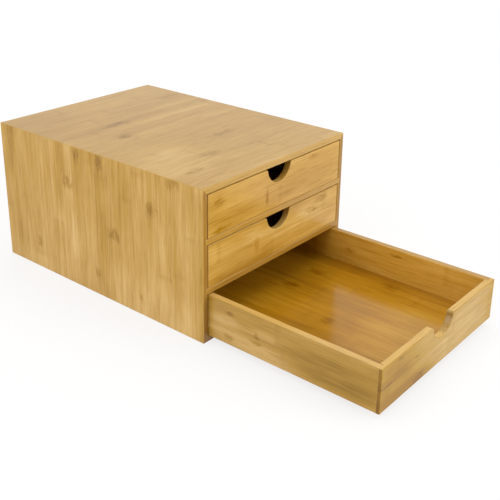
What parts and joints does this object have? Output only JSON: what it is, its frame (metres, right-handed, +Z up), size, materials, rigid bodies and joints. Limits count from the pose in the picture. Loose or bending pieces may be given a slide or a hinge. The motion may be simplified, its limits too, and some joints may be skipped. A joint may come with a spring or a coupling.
{
  "type": "desktop drawer organizer",
  "caption": "Bamboo desktop cabinet with stacked sliding drawers, each with a half-moon finger notch, for paper, craft supplies and small parts.",
  "frame": {"origin": "centre of the case's underside, on the surface that it stands on", "axes": "+Z up, -Y the way the drawers open, +X to the right seen from the front"},
  "size_m": [0.25, 0.551, 0.177],
  "materials": {
    "case_bamboo": "laminated bamboo strips, clear semi-gloss lacquer",
    "front_bamboo": "laminated bamboo strips, clear semi-gloss lacquer",
    "drawer_bamboo": "laminated bamboo strips, clear semi-gloss lacquer",
    "floor_bamboo": "thin bamboo board, clear semi-gloss lacquer",
    "back_bamboo": "thin bamboo board, clear satin lacquer"
  },
  "bodies": {
    "case": {"top_panel": "case_bamboo", "bottom_panel": "case_bamboo", "left_side_panel": "case_bamboo", "right_side_panel": "case_bamboo", "back_panel": "back_bamboo", "upper_shelf": "case_bamboo", "lower_shelf": "case_bamboo"},
    "upper_drawer": {"upper_drawer_front": "front_bamboo", "upper_drawer_left_side": "drawer_bamboo", "upper_drawer_right_side": "drawer_bamboo", "upper_drawer_back": "drawer_bamboo", "upper_drawer_floor": "floor_bamboo"},
    "middle_drawer": {"middle_drawer_front": "front_bamboo", "middle_drawer_left_side": "drawer_bamboo", "middle_drawer_right_side": "drawer_bamboo", "middle_drawer_back": "drawer_bamboo", "middle_drawer_floor": "floor_bamboo"},
    "lower_drawer": {"lower_drawer_front": "front_bamboo", "lower_drawer_left_side": "drawer_bamboo", "lower_drawer_right_side": "drawer_bamboo", "lower_drawer_back": "drawer_bamboo", "lower_drawer_floor": "floor_bamboo"}
  },
  "joints": [
    {"name": "upper_drawer_slide", "type": "slide", "parent": "case", "child": "upper_drawer", "axis": [0, -1, 0], "range_m": [0, 0.25]},
    {"name": "middle_drawer_slide", "type": "slide", "parent": "case", "child": "middle_drawer", "axis": [0, -1, 0], "range_m": [0, 0.25]},
    {"name": "lower_drawer_slide", "type": "slide", "parent": "case", "child": "lower_drawer", "axis": [0, -1, 0], "range_m": [-0.212, 0.038]}
  ]
}
